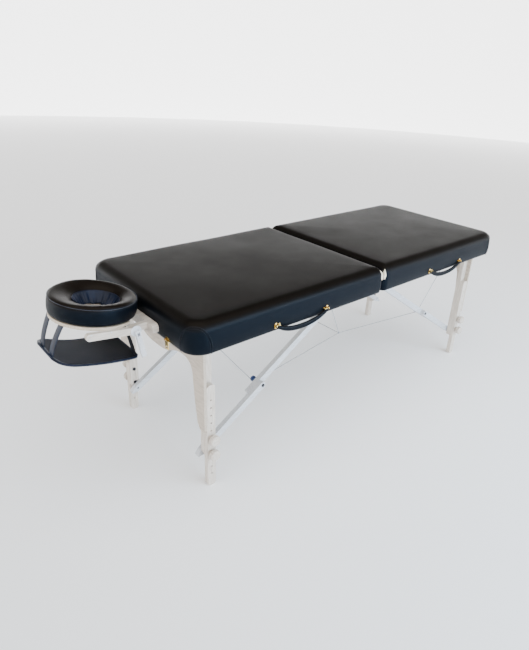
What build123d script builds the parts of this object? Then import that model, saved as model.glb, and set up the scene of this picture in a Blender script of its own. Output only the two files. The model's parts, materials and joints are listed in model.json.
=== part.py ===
"""Portable massage table: two hinged padded halves on folding braced legs, with a face cradle.

Frame: millimetres, +Z up, +X towards the foot end, -Y the side that carries the handles.
The origin lies on the floor under the middle of the whole object's box.
Distances called "reach" are measured along X from the hinge line, outwards on both halves.
"""

from build123d import *
import os
from math import atan2, cos, degrees, hypot, radians, sin

os.makedirs("parts", exist_ok=True)

# ---- driving dimensions -----------------------------------------------------------------------
HINGE_X = 157.5            # hinge line, so that the box with the face cradle is centred
HALF_LENGTH = 952.0        # one padded half
HALF_WIDTH = 381.0         # the table is 30 in wide
COVER_BOTTOM = 621.0
COVER_TOP = 733.0
VINYL = 3.0                # cover thickness with its lining
CORNER = 70.0              # plan radius of the outer corners
VALLEY_CORNER = 44.0       # plan corners beside the hinge line
EDGE = 42.0                # rounding of the upper edges
GAP = 0.6                  # from the hinge line to each cover
EASE = 0.3                 # clearance round a soft piece
GLUE = 0.1                 # joint between two frame boards

RAIL = 20.0                # frame rail thickness
RAIL_TOP = 676.0
DECK = 4.0                 # plywood deck under the foam
FOLD_Z = COVER_BOTTOM - 4  # fold axis, below both undersides

PIVOT_REACH = 846.0        # leg axle
PIVOT_Z = 653.0
AXLE_R = 6.0
LEG_WIDTH = 36.0
POST = (279.5, 300.5)      # |y| of the upper leg, inner and outer face
POST_BOTTOM = 117.0
POST_CUT = (14.0, 33.0)    # slanted cut at the post's outer lower corner
EXTENSION = (301.0, 322.0)  # |y| of the sliding lower leg
EXTENSION_TOP = 455.0
EXTENSION_CORNER = 14.0
HOLE_PITCH = 33.4
FIRST_HOLE = 58.0
HOLE_COUNT = 11
HOLE_R = 3.5
KNOB_HOLES = {"lower": 3, "upper": 5}
KNOB_R = 21.0
KNOB_PROFILE = (9.0, 11.7, 28.0, 32.7)   # hub radius; distances to shoulder, rim and crown
KNOB_BEVEL = 2.0
BOLT_R = 4.0
BOLT_HEAD_R = 7.5
PANEL = 11.0               # end panel thickness
PANEL_TOP = 635.0
PANEL_TIP = 259.0          # lower ends of the panel's legs
PANEL_LOBE = 488.0         # lowest point of its middle lobe
PANEL_FOOT = (292.0, 277.0, 283.0)   # |y| of a leg's lower corners, height of the inner one
PANEL_THROAT = ((263, 371), (254, 459), (237, 513), (200, 529), (122, 514), (77, 496))  # |y|, z
PANEL_SOFTEN = 8.0

LOWER_LANE = (254.0, 275.0)   # |y| of the lower brace strut
UPPER_LANE = (232.5, 253.5)   # |y| of the upper brace strut
STRUT = 28.0                  # strut depth in the plane of the fold
BRACE_LOW_Z = 138.0           # lower brace pivot on the leg
BRACE_TOP_REACH = 40.0        # upper brace pivot under the deck
STRUT_TAIL = 62.0             # upper strut past the knee
STRUT_POINT = 34.0            # lower strut past the leg
STRUT_TAPER = 10.0            # where its point starts
STRUT_TIP = 4.0               # half the width of its blunt tip
BRACKET = (30.0, 18.0, 13.0)  # upper pivot block: length, width, depth below the pivot
PIN_HEAD = 3.5                # thickness of bolt and pin heads
INSET = 0.5                   # how far a pin stops short of a face
RUN_FIT = 0.06                # radial clearance of a turning joint

CABLE_R = 1.25
CRIMP_R = 4.0              # crimps at the hubs
EYE_R = 3.4                # cable eye on the hinge pin
EYE_LENGTH = 18.0
HUB_GAP = 4.6              # from a hub's centre to the side cable's end
HUB_Y = 163.0
HUB_Z = 330.0
CABLE_LANE = 220.0
GROOVE_R = 8.0
SPOOL_R = 12.0
CABLE_END = (839.0, 220.0, 645.0)   # reach, |y|, z of the cable's end at the leg axle

HANDLE_REACH = 478.5
HANDLE_SPAN = 123.0        # half the distance between a handle's mounts
HANDLE_Z = 642.0
HANDLE_RISE = (-21.0, -44.0)  # middle of the grip's upper and lower edges, from the pins
HANDLE_PIN_Y = HALF_WIDTH + 7

SOCKET_Y = 110.0           # face cradle sockets
SOCKET_Z = 648.0
POST_R = 9.5               # cradle dowel
DOWEL_END = 858.0          # reach of the dowels' inner ends
DOWEL_CHAMFER = 1.5
DOWEL_HEAD = 967.0         # and of their ends in the cross bar
BAR = (955.5, 977.5)       # reach of the cradle's cross bar
BAR_HALF = 178.0
BAR_Z = (632.0, 668.0)
BAR_CORNER = 16.0
TILT_REACH = 1028.0        # cradle tilt axle
TILT_Z = 656.0
TILT = 8.0                 # degrees that the cradle is tipped up at rest
TILT_R = 5.0
BASE_ARM = (124.0, 141.7)
HEAD_ARM = (142.0, 158.0)
ARM_HALF = 12.0            # half the depth of all four arms
ARM_SPAN = (-14.0, 165.0)  # tilting arms, along themselves from the tilt axle
ARM_CORNER = 10.0
DISC = (19.0, 3.0)         # radius and thickness of the washer discs on the tilt axle
PLATFORM = (12.0, 22.0)    # height range above the tilt axle, square to the arms
PLATFORM_START = 4.0       # the platform's straight near edge, along the arms
CUSHION = (22.6, 92.0)
CUSHION_CENTRE = 80.0      # along the tilted arms from the tilt axle
CUSHION_SIZE = (143.0, 150.0)   # half sizes along and across
CUSHION_HOLE = 60.0
CUSHION_EDGE = 10.0        # rounding of its edges
PLATFORM_RIM = 4.0         # the platform's step in from the cushion
PLATFORM_HOLE = CUSHION_HOLE + 8
SLING_HALF = 120.0
SLING_INNER = (1007.0, 537.0)   # reach and z of the sling's upper edge near the table
SLING_OUTER = (1272.0, 596.0)   # and of its far edge
SLING_THICK = 10.0
STRAP = (36.0, 4.0, 2.0)   # the straps' width, thickness and distance from the sling's sides
STRAP_TOPS = (22.0, 150.0)  # where they meet the platform, along the arms

LATCH_Y = 230.0

ENDS = {"head": -1, "foot": 1}
SIDES = {"front": -1, "back": 1}


def finish(piece, name):
    """Label a sub-part and write it."""
    piece.part.label = name
    export_step(piece.part, f"parts/{name}.step")


def world_x(end, reach):
    return HINGE_X + ENDS[end] * reach


def lane_plane(side, lane, x=0.0, z=0.0, along=(1, 0, 0)):
    """Plane facing -Y on the face from which a lane's full thickness lies towards -Y."""
    start = -lane[0] if SIDES[side] < 0 else lane[1]
    return Plane(origin=(x, start, z), x_dir=along, z_dir=(0, -1, 0))


def thickness(lane):
    return lane[1] - lane[0]


# ---- brace geometry: straight when open, flat against the deck when closed --------------------
leg_arm = PIVOT_Z - BRACE_LOW_Z
open_span = hypot(PIVOT_REACH - BRACE_TOP_REACH, leg_arm)
closed_span = PIVOT_REACH - leg_arm - BRACE_TOP_REACH
upper_length = (open_span + closed_span) / 2
lower_length = (open_span - closed_span) / 2
slope = atan2(leg_arm, PIVOT_REACH - BRACE_TOP_REACH)
KNEE_REACH = BRACE_TOP_REACH + upper_length * cos(slope)
KNEE_Z = PIVOT_Z - upper_length * sin(slope)
print(f"knee at reach {KNEE_REACH:.2f}, z {KNEE_Z:.2f}; upper strut turns {degrees(slope):.3f} deg, "
      f"lower strut {90 - degrees(slope):.3f} deg on the leg")


def half_outline(outline, end, inset):
    """Draw one half's plan in the sketch: small corners at the hinge line, large ones at the end."""
    low, high = GAP + inset, HALF_LENGTH - inset
    with Locations((world_x(end, (low + high) / 2), 0)):
        Rectangle(high - low, 2 * (HALF_WIDTH - inset))
    inner, outer = outline.vertices().group_by(Axis.X)[::ENDS[end]]
    fillet(outer, CORNER - inset)
    fillet(inner, VALLEY_CORNER - inset)


# ---- padded halves ----------------------------------------------------------------------------
def make_deck(end):
    with BuildPart() as deck:
        with BuildSketch(Plane.XY.offset(RAIL_TOP)) as outline:
            half_outline(outline, end, VINYL + EASE)
        extrude(amount=DECK)
    finish(deck, f"{end}_deck")


def socket_circles(radius):
    """Draw the circles of the two cradle sockets in a sketch on an end face."""
    with Locations((-SOCKET_Y, SOCKET_Z), (SOCKET_Y, SOCKET_Z)):
        Circle(radius)


def make_rails(end):
    """Side boards, cross boards at both ends and quarter-round corner blocks."""
    outer = HALF_WIDTH - VINYL
    inner_end = GAP + VINYL + RAIL
    arc_x, arc_y = world_x(end, HALF_LENGTH - CORNER), HALF_WIDTH - CORNER
    side_length = HALF_LENGTH - CORNER - inner_end - 2 * GLUE
    with BuildPart() as rails:
        with BuildSketch(Plane.XY.offset(COVER_BOTTOM)):
            for side in SIDES.values():
                with Locations((world_x(end, inner_end + GLUE + side_length / 2), side * (outer - RAIL / 2))):
                    Rectangle(side_length, RAIL)
            with Locations((world_x(end, inner_end - RAIL / 2), 0)):
                Rectangle(RAIL, 2 * outer)
            with Locations((world_x(end, HALF_LENGTH - VINYL - RAIL / 2), 0)):
                Rectangle(RAIL, 2 * (arc_y - GLUE))
        extrude(amount=RAIL_TOP - COVER_BOTTOM)
        with BuildSketch(Plane.XY.offset(COVER_BOTTOM)):
            for side in SIDES.values():
                with Locations((arc_x, side * arc_y)):
                    Circle(CORNER - VINYL)
                    Circle(CORNER - VINYL - RAIL, mode=Mode.SUBTRACT)
            with Locations((arc_x - ENDS[end] * CORNER / 2, 0)):
                Rectangle(CORNER, 2 * HALF_WIDTH, mode=Mode.SUBTRACT)
            with Locations((arc_x + ENDS[end] * CORNER / 2, 0)):
                Rectangle(CORNER, 2 * arc_y, mode=Mode.SUBTRACT)
        extrude(amount=RAIL_TOP - COVER_BOTTOM)
        with BuildSketch(Plane.XY.offset(COVER_BOTTOM)):
            for side in SIDES.values():
                square = VALLEY_CORNER / 2
                with Locations((world_x(end, GAP + square), side * (HALF_WIDTH - square))):
                    Rectangle(VALLEY_CORNER, VALLEY_CORNER)
                with Locations((world_x(end, GAP + VALLEY_CORNER), side * (HALF_WIDTH - VALLEY_CORNER))):
                    Circle(VALLEY_CORNER - VINYL, mode=Mode.SUBTRACT)
        extrude(amount=RAIL_TOP - COVER_BOTTOM, mode=Mode.SUBTRACT)
        with BuildSketch(Plane.YZ.offset(world_x(end, HALF_LENGTH - VINYL - RAIL / 2))):
            socket_circles(POST_R + RUN_FIT)
        extrude(amount=RAIL, both=True, mode=Mode.SUBTRACT)
    finish(rails, f"{end}_frame_rails")


def make_padding(end):
    with BuildPart() as core:
        with BuildSketch(Plane.XY.offset(RAIL_TOP + DECK)) as outline:
            half_outline(outline, end, VINYL + EASE)
        extrude(amount=COVER_TOP - VINYL - EASE - RAIL_TOP - DECK)
        fillet(core.faces().sort_by(Axis.Z)[-1].edges(), EDGE - VINYL)
    finish(core, f"{end}_foam")
    with BuildPart() as lining:
        with BuildSketch(Plane.XY.offset(COVER_BOTTOM)) as outline:
            half_outline(outline, end, VINYL)
        extrude(amount=COVER_TOP - VINYL - COVER_BOTTOM)
        fillet(lining.faces().sort_by(Axis.Z)[-1].edges(), EDGE - VINYL)
    with BuildPart() as cover:
        with BuildSketch(Plane.XY.offset(COVER_BOTTOM)) as outline:
            half_outline(outline, end, 0)
        extrude(amount=COVER_TOP - COVER_BOTTOM)
        fillet(cover.faces().sort_by(Axis.Z)[-1].edges(), EDGE)
        add(lining.part, mode=Mode.SUBTRACT)
        with BuildSketch(Plane.YZ.offset(world_x(end, HALF_LENGTH))):
            socket_circles(POST_R + 1)
        extrude(amount=2 * VINYL, both=True, mode=Mode.SUBTRACT)
    finish(cover, f"{end}_cover")


# ---- centre hinges ----------------------------------------------------------------------------
HINGE_Y = (-250.0, -90.0, 90.0, 250.0)
LEAF = (30.0, 64.0, 2.0)    # reach, length along Y, thickness
KNUCKLE_R = 3.5
PIN_R = 1.6
KNUCKLE = LEAF[1] / 3


def make_hinge_leaves(end):
    """The head leaf carries the two outer knuckles, the foot leaf the middle one."""
    centres = (-KNUCKLE, KNUCKLE) if end == "head" else (0.0,)
    length = KNUCKLE - 0.4
    with BuildPart() as leaves:
        with BuildSketch(Plane.XY.offset(COVER_BOTTOM - LEAF[2])):
            for y in HINGE_Y:
                with Locations((world_x(end, KNUCKLE_R + 0.6 + LEAF[0] / 2), y)):
                    Rectangle(LEAF[0], LEAF[1])
        extrude(amount=LEAF[2])
        with BuildSketch(Plane.XY.offset(COVER_BOTTOM - LEAF[2])):
            for y in HINGE_Y:
                with Locations(*[(world_x(end, KNUCKLE_R), y + c) for c in centres]):
                    Rectangle(2 * KNUCKLE_R, length)
        extrude(amount=LEAF[2] - 0.4)
        for y in HINGE_Y:
            for c in centres:
                with BuildSketch(Plane.XZ.offset(-(y + c + length / 2))):
                    with Locations((HINGE_X, FOLD_Z)):
                        Circle(KNUCKLE_R)
                extrude(amount=length)
        for y in HINGE_Y:
            with BuildSketch(Plane.XZ.offset(-(y + LEAF[1]))):
                with Locations((HINGE_X, FOLD_Z)):
                    Circle(PIN_R + RUN_FIT)
            extrude(amount=2 * LEAF[1], mode=Mode.SUBTRACT)
    finish(leaves, f"{end}_hinge_leaves")


def make_hinge_pins():
    """Pins through the knuckles; the two middle hinges share one, which carries the cable eye."""
    with BuildPart() as pins:
        for y in HINGE_Y:
            with BuildSketch(Plane.XZ.offset(-(y + LEAF[1] / 2))):
                with Locations((HINGE_X, FOLD_Z)):
                    Circle(PIN_R)
            extrude(amount=LEAF[1])
        with BuildSketch(Plane.XZ.offset(-HINGE_Y[2])):
            with Locations((HINGE_X, FOLD_Z)):
                Circle(PIN_R)
        extrude(amount=HINGE_Y[2] - HINGE_Y[1])
    finish(pins, "hinge_pins")


# ---- legs -------------------------------------------------------------------------------------
def hole_z(index):
    return FIRST_HOLE + HOLE_PITCH * index


def make_leg_axle(end):
    span = HALF_WIDTH - VINYL - RAIL
    with BuildPart() as axle:
        with BuildSketch(Plane.XZ.offset(-span)):
            with Locations((world_x(end, PIVOT_REACH), PIVOT_Z)):
                Circle(AXLE_R)
        extrude(amount=2 * span)
    finish(axle, f"{end}_leg_axle")


def make_leg_posts(end):
    """Upper legs, round about the axle, with a slanted cut at the outer lower corner."""
    x, half, outward = world_x(end, PIVOT_REACH), LEG_WIDTH / 2, ENDS[end]
    with BuildPart() as posts:
        for side in SIDES:
            with BuildSketch(lane_plane(side, POST)):
                with BuildLine():
                    Polyline((x - outward * half, PIVOT_Z), (x - outward * half, POST_BOTTOM),
                             (x + outward * (half - POST_CUT[0]), POST_BOTTOM),
                             (x + outward * half, POST_BOTTOM + POST_CUT[1]),
                             (x + outward * half, PIVOT_Z), close=True)
                make_face()
                with Locations((x, PIVOT_Z)):
                    Circle(half)
                    Circle(AXLE_R + RUN_FIT, mode=Mode.SUBTRACT)
                with Locations(*[(x, hole_z(k)) for k in KNOB_HOLES.values()], (x, BRACE_LOW_Z)):
                    Circle(BOLT_R, mode=Mode.SUBTRACT)
            extrude(amount=thickness(POST))
    finish(posts, f"{end}_leg_posts")


def make_end_panel(end):
    """Arched board on the outer faces of the leg posts: a low lobe in the middle, then two throats."""
    edge, foot = EXTENSION[1], PANEL_FOOT[1:]
    with BuildPart() as panel:
        with BuildSketch(Plane.YZ.offset(world_x(end, PIVOT_REACH + LEG_WIDTH / 2))) as outline:
            with BuildLine():
                Polyline((0, PANEL_LOBE), (0, PANEL_TOP), (edge, PANEL_TOP), (edge, PANEL_TIP),
                         (PANEL_FOOT[0], PANEL_TIP), foot)
                Spline(foot, *PANEL_THROAT, (0, PANEL_LOBE), tangents=((-0.16, 1), (-1, 0)))
            make_face()
            fillet(outline.vertices().group_by(Axis.Y)[0], PANEL_SOFTEN)
            mirror(about=Plane.YZ)
        extrude(amount=ENDS[end] * PANEL)
    finish(panel, f"{end}_end_panel")


def make_leg_bolts(end):
    """Height bolts with heads on the inner face, and the lower brace pivots with their washers."""
    x = world_x(end, PIVOT_REACH)
    washer = (LOWER_LANE[1] + EASE, POST[0])
    pivot = (LOWER_LANE[0] + INSET, POST[1] - INSET)
    knob_places = [(x, hole_z(k)) for k in KNOB_HOLES.values()]
    with BuildPart() as bolts:
        for side in SIDES:
            with BuildSketch(lane_plane(side, (POST[0], POST[1] - INSET))):
                with Locations(*knob_places):
                    Circle(BOLT_R)
            extrude(amount=thickness(POST) - INSET)
            with BuildSketch(lane_plane(side, (POST[0] - PIN_HEAD, POST[0]))):
                with Locations(*knob_places):
                    Circle(BOLT_HEAD_R)
            extrude(amount=PIN_HEAD)
            with BuildSketch(lane_plane(side, pivot)):
                with Locations((x, BRACE_LOW_Z)):
                    Circle(BOLT_R)
            extrude(amount=thickness(pivot))
            with BuildSketch(lane_plane(side, washer)):
                with Locations((x, BRACE_LOW_Z)):
                    Circle(BOLT_HEAD_R)
            extrude(amount=thickness(washer))
    finish(bolts, f"{end}_leg_bolts")


def make_extension(end, side):
    x = world_x(end, PIVOT_REACH)
    with BuildPart() as extension:
        with BuildSketch(lane_plane(side, EXTENSION)):
            with Locations((x, EXTENSION_TOP / 2)):
                RectangleRounded(LEG_WIDTH - 0.8, EXTENSION_TOP, EXTENSION_CORNER)
            with Locations(*[(x, hole_z(k)) for k in range(HOLE_COUNT)]):
                Circle(HOLE_R, mode=Mode.SUBTRACT)
        extrude(amount=thickness(EXTENSION))
    finish(extension, f"{end}_{side}_leg_extension")


def make_knob(end, side, level):
    """Clamping knob: a hub against the leg under a crowned round head."""
    x, z = world_x(end, PIVOT_REACH), hole_z(KNOB_HOLES[level])
    hub_r, shoulder, rim, crown = KNOB_PROFILE
    base = Plane(origin=(x, SIDES[side] * (EXTENSION[1] + EASE), z), x_dir=(1, 0, 0), z_dir=(0, 0, 1))
    outward = SIDES[side]
    with BuildPart() as knob:
        with BuildSketch(base):
            with BuildLine():
                Polyline((0, 0), (hub_r, 0), (hub_r, outward * shoulder),
                         (KNOB_R - KNOB_BEVEL, outward * shoulder),
                         (KNOB_R, outward * (shoulder + KNOB_BEVEL)), (KNOB_R, outward * rim),
                         (KNOB_R - 2 * KNOB_BEVEL, outward * (crown - KNOB_BEVEL / 2)),
                         (0, outward * crown), close=True)
            make_face()
        revolve(axis=Axis((x, 0, z), (0, 1, 0)))
    finish(knob, f"{end}_{side}_{level}_knob")


# ---- braces -----------------------------------------------------------------------------------
KNEE_HEAD = (7.0, 2.4)      # radius and thickness of the knee bolt's head
SPOOL_HALF = 12.0           # from the cable's lane to the spool's inner face
SPOOL_SLOT = 4.0            # and to each flange


def strut_direction(end):
    """Unit direction from the upper brace pivot towards the leg."""
    return (ENDS[end] * cos(slope), 0, -sin(slope))


def make_upper_struts(end):
    x, along = world_x(end, BRACE_TOP_REACH), strut_direction(end)
    flat = upper_length + STRUT_TAIL
    with BuildPart() as struts:
        for side in SIDES:
            with BuildSketch(lane_plane(side, UPPER_LANE, x, PIVOT_Z, along)):
                with Locations((flat / 2, 0)):
                    Rectangle(flat, STRUT)
                Circle(STRUT / 2)
                Circle(BOLT_R + RUN_FIT, mode=Mode.SUBTRACT)
                with Locations((upper_length, 0)):
                    Circle(BOLT_R + RUN_FIT, mode=Mode.SUBTRACT)
            extrude(amount=thickness(UPPER_LANE))
    finish(struts, f"{end}_upper_struts")


def make_lower_struts(end):
    x, direction = world_x(end, KNEE_REACH), strut_direction(end)
    taper, point = lower_length + STRUT_TAPER, lower_length + STRUT_POINT
    with BuildPart() as struts:
        for side in SIDES:
            with BuildSketch(lane_plane(side, LOWER_LANE, x, KNEE_Z, direction)):
                with BuildLine():
                    Polyline((0, -STRUT / 2), (taper, -STRUT / 2), (point, -STRUT_TIP),
                             (point, STRUT_TIP), (taper, STRUT / 2), (0, STRUT / 2), close=True)
                make_face()
                Circle(STRUT / 2)
                Circle(BOLT_R, mode=Mode.SUBTRACT)
                with Locations((lower_length, 0)):
                    Circle(BOLT_R + RUN_FIT, mode=Mode.SUBTRACT)
            extrude(amount=thickness(LOWER_LANE))
    finish(struts, f"{end}_lower_struts")


def make_knee_bolts(end):
    """Knee bolt held in the lower strut, with its domed head on the outer face."""
    x = world_x(end, KNEE_REACH)
    head = (LOWER_LANE[1], LOWER_LANE[1] + KNEE_HEAD[1])
    with BuildPart() as bolts:
        for side in SIDES:
            with BuildSketch(lane_plane(side, LOWER_LANE, x, KNEE_Z)):
                Circle(BOLT_R)
            extrude(amount=thickness(LOWER_LANE))
            with BuildSketch(lane_plane(side, head, x, KNEE_Z)):
                Circle(KNEE_HEAD[0])
            extrude(amount=thickness(head))
    finish(bolts, f"{end}_knee_bolts")


def make_spools(end):
    """Grooved cable guides on the inner faces of the upper struts."""
    x = world_x(end, KNEE_REACH)
    inner = CABLE_LANE - SPOOL_HALF
    flanges = ((inner, CABLE_LANE - SPOOL_SLOT), (CABLE_LANE + SPOOL_SLOT, UPPER_LANE[0]))
    with BuildPart() as spools:
        for side in SIDES:
            with BuildSketch(lane_plane(side, (inner, UPPER_LANE[1]), x, KNEE_Z)):
                Circle(BOLT_R)
            extrude(amount=UPPER_LANE[1] - inner)
            with BuildSketch(lane_plane(side, (inner, UPPER_LANE[0]), x, KNEE_Z)):
                Circle(GROOVE_R)
            extrude(amount=UPPER_LANE[0] - inner)
            for flange in flanges:
                with BuildSketch(lane_plane(side, flange, x, KNEE_Z)):
                    Circle(SPOOL_R)
                extrude(amount=thickness(flange))
    finish(spools, f"{end}_cable_spools")


def make_brace_brackets(end):
    """Wooden pivot blocks under the deck, each with its steel pin through the upper strut."""
    x = world_x(end, BRACE_TOP_REACH)
    block = (UPPER_LANE[1] + INSET, UPPER_LANE[1] + INSET + BRACKET[1])
    head = (UPPER_LANE[0] - INSET - PIN_HEAD, UPPER_LANE[0] - INSET)
    block_bottom = PIVOT_Z - BRACKET[2]
    with BuildPart() as brackets:
        for side in SIDES:
            with BuildSketch(lane_plane(side, block)):
                with Locations((x, (RAIL_TOP + block_bottom) / 2)):
                    Rectangle(BRACKET[0], RAIL_TOP - block_bottom)
            extrude(amount=thickness(block))
            with BuildSketch(lane_plane(side, (head[0], block[1]))):
                with Locations((x, PIVOT_Z)):
                    Circle(BOLT_R)
            extrude(amount=block[1] - head[0])
            with BuildSketch(lane_plane(side, head)):
                with Locations((x, PIVOT_Z)):
                    Circle(BOLT_HEAD_R)
            extrude(amount=thickness(head))
    finish(brackets, f"{end}_brace_brackets")


# ---- stay cables ------------------------------------------------------------------------------
def make_stay_cables(end):
    """A cable on each side, from the leg axle round the outside of the knee spool to the hub."""
    wrap_r = GROOVE_R + CABLE_R + EASE
    with BuildPart() as cables:
        for side in SIDES.values():
            start = Vector(world_x(end, CABLE_END[0]), side * CABLE_END[1], CABLE_END[2])
            knee = Vector(world_x(end, KNEE_REACH), side * CABLE_LANE, KNEE_Z)
            hub = Vector(HINGE_X, side * HUB_Y, HUB_Z)
            up, across = (start - knee).normalized(), (hub - knee).normalized()
            half_angle = radians(up.get_angle(across)) / 2
            turn = knee - (up + across).normalized() * (wrap_r / sin(half_angle))
            stop = hub + (turn - hub).normalized() * HUB_GAP
            with BuildLine() as route:
                FilletPolyline(start, turn, stop, radius=wrap_r)
            with BuildSketch(Plane(origin=start, z_dir=turn - start)):
                Circle(CABLE_R)
            sweep(path=route.wires()[0])
    print(f"{end} stay cables: {route.wires()[0].length:.0f} mm each, bend radius {wrap_r:.1f}")
    finish(cables, f"{end}_stay_cables")


def make_centre_cables():
    """Cross cable between the hubs, two droppers from an eye on the middle hinge pin, and the hub crimps."""
    eye = Vector(HINGE_X, 0, FOLD_Z)
    with BuildPart() as cables:
        for side in SIDES.values():
            hub = Vector(HINGE_X, side * HUB_Y, HUB_Z)
            top = eye + (0, side * EYE_LENGTH / 3, -EYE_R + 0.5)
            with BuildSketch(Plane(origin=hub, z_dir=top - hub)):
                Circle(CABLE_R)
            extrude(amount=(top - hub).length)
        with BuildSketch(Plane.XZ.offset(-HUB_Y)):
            with Locations((HINGE_X, HUB_Z)):
                Circle(CABLE_R)
        extrude(amount=2 * HUB_Y)
        with Locations((HINGE_X, -HUB_Y, HUB_Z), (HINGE_X, HUB_Y, HUB_Z)):
            Sphere(CRIMP_R)
        with BuildSketch(Plane.XZ.offset(-EYE_LENGTH / 2)):
            with Locations((HINGE_X, FOLD_Z)):
                Circle(EYE_R)
        extrude(amount=EYE_LENGTH)
        with BuildSketch(Plane.XZ.offset(-EYE_LENGTH)):
            with Locations((HINGE_X, FOLD_Z)):
                Circle(PIN_R + RUN_FIT)
        extrude(amount=2 * EYE_LENGTH, mode=Mode.SUBTRACT)
    finish(cables, "centre_cables")


# ---- carrying handles -------------------------------------------------------------------------
MOUNT_PLATE = (26.0, 24.0, 4.0)   # width, height and corner of a mount's plate
PLATE = 2.0                       # thickness of all brass plates
EAR = (8.4, 3.2)                  # from the mount's middle to the ear, and its thickness
EAR_FOOT = (7.0, 11.0)
EAR_R = 5.5
HANDLE_PIN_R = 2.5
HANDLE_PIN = 22.0
GRIP_THICK = 9.0
GRIP_END = (6.0, 1.0, -9.0)       # the grip's end: inwards from the pin, top and bottom from it
GRIP_EYE_R = 4.2
GRIP_EYE = 16.0


def make_handle_mounts(end):
    """Brass plates on the cover's front face, each with an outer ear and a pin for the grip."""
    ear, ear_thick = EAR
    with BuildPart() as mounts:
        for outward in (-1, 1):
            x = world_x(end, HANDLE_REACH) + outward * HANDLE_SPAN
            with BuildSketch(Plane.XZ.offset(HALF_WIDTH)):
                with Locations((x, HANDLE_Z)):
                    RectangleRounded(*MOUNT_PLATE)
            extrude(amount=PLATE)
            with BuildSketch(Plane.YZ.offset(x + outward * ear)):
                with Locations((-HANDLE_PIN_Y + EAR_FOOT[0] / 2, HANDLE_Z)):
                    Rectangle(*EAR_FOOT)
                with Locations((-HANDLE_PIN_Y, HANDLE_Z)):
                    Circle(EAR_R)
            extrude(amount=outward * ear_thick)
            with BuildSketch(Plane.YZ.offset(x + outward * (ear + ear_thick))):
                with Locations((-HANDLE_PIN_Y, HANDLE_Z)):
                    Circle(HANDLE_PIN_R)
            extrude(amount=-outward * HANDLE_PIN)
    finish(mounts, f"{end}_handle_mounts")


def make_handle(end):
    """Padded bow grip that swings on the pins of its two mounts."""
    middle = world_x(end, HANDLE_REACH)
    tip, face = HANDLE_SPAN - GRIP_END[0], HANDLE_PIN_Y - GRIP_THICK / 2 + 1
    top, bottom = HANDLE_Z + GRIP_END[1], HANDLE_Z + GRIP_END[2]
    with BuildPart() as grip:
        with BuildSketch(Plane.XZ.offset(face)):
            with BuildLine():
                upper = Spline((middle - tip, top), (middle, HANDLE_Z + HANDLE_RISE[0]),
                               (middle + tip, top), tangents=((1, -0.3), (1, 0.3)))
                lower = Spline((middle - tip, bottom), (middle, HANDLE_Z + HANDLE_RISE[1]),
                               (middle + tip, bottom), tangents=((1, -0.5), (1, 0.5)))
                Line(upper @ 0, lower @ 0)
                Line(upper @ 1, lower @ 1)
            make_face()
        extrude(amount=GRIP_THICK)
        for span in (-HANDLE_SPAN, HANDLE_SPAN):
            with BuildSketch(Plane.YZ.offset(middle + span - GRIP_EYE / 2)):
                with Locations((-HANDLE_PIN_Y, HANDLE_Z)):
                    Circle(GRIP_EYE_R)
            extrude(amount=GRIP_EYE)
            with BuildSketch(Plane.YZ.offset(middle + span - GRIP_EYE)):
                with Locations((-HANDLE_PIN_Y, HANDLE_Z)):
                    Circle(HANDLE_PIN_R + RUN_FIT)
            extrude(amount=2 * GRIP_EYE, mode=Mode.SUBTRACT)
    finish(grip, f"{end}_handle")


# ---- latches that hold the closed case --------------------------------------------------------
LATCH_AXIS = (HALF_LENGTH + 4.9, COVER_BOTTOM + 6.5)    # reach, z
LATCH_TAB = COVER_BOTTOM + 8                            # height of the foot end's tab
LATCH_WINDOW = 2 * FOLD_Z - LATCH_TAB                   # where the closed case brings it
LATCH_PIN_R = 1.4
LATCH_PLATE = (26.0, 19.0)      # width and height of the plates
LATCH_PLATE_Z = COVER_BOTTOM + 10.5
LATCH_EAR = (8.0, 6.0)
LATCH_LEVER = (20.0, 2.4)       # width and thickness
LATCH_OPENING = (12.0, 8.0, 2.0)    # width, height and corner of the lever's window
LATCH_BELOW = 9.0               # the lever's end below its window
TAB = (8.0, 4.0, 4.5)           # width, height and length


def make_latch_plates():
    """Brass plates on the head end with ears and a pin for the lever."""
    half_width = LATCH_PLATE[0] / 2
    with BuildPart() as plates:
        for side in SIDES.values():
            y = side * LATCH_Y
            with BuildSketch(Plane.YZ.offset(world_x("head", HALF_LENGTH))):
                with Locations((y, LATCH_PLATE_Z)):
                    Rectangle(*LATCH_PLATE)
            extrude(amount=-PLATE)
            with BuildSketch(Plane.XZ.offset(-(y + half_width))):
                with Locations((world_x("head", LATCH_AXIS[0]), LATCH_AXIS[1])):
                    Circle(LATCH_PIN_R)
            extrude(amount=LATCH_PLATE[0])
            for near in (-half_width, half_width - PLATE):
                with BuildSketch(Plane.XZ.offset(-(y + near + PLATE))):
                    with Locations((world_x("head", HALF_LENGTH + LATCH_EAR[0] / 2), LATCH_AXIS[1])):
                        Rectangle(*LATCH_EAR)
                extrude(amount=PLATE)
    finish(plates, "latch_plates")


def make_latch_lever(side):
    """Hanging lever with a window for the foot end's tab."""
    y = SIDES[side] * LATCH_Y
    x = world_x("head", LATCH_AXIS[0])
    width, thick = LATCH_LEVER
    bottom = LATCH_WINDOW - LATCH_BELOW
    with BuildPart() as lever:
        with BuildSketch(Plane.XZ.offset(-(y + width / 2))):
            with Locations((x, (LATCH_AXIS[1] + bottom) / 2)):
                Rectangle(thick, LATCH_AXIS[1] - bottom)
            with Locations((x, LATCH_AXIS[1])):
                Circle(thick)
                Circle(LATCH_PIN_R + RUN_FIT, mode=Mode.SUBTRACT)
        extrude(amount=width)
        with BuildSketch(Plane.YZ.offset(x)):
            with Locations((y, LATCH_WINDOW)):
                RectangleRounded(*LATCH_OPENING)
        extrude(amount=thick, both=True, mode=Mode.SUBTRACT)
    finish(lever, f"{side}_latch_lever")


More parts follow.
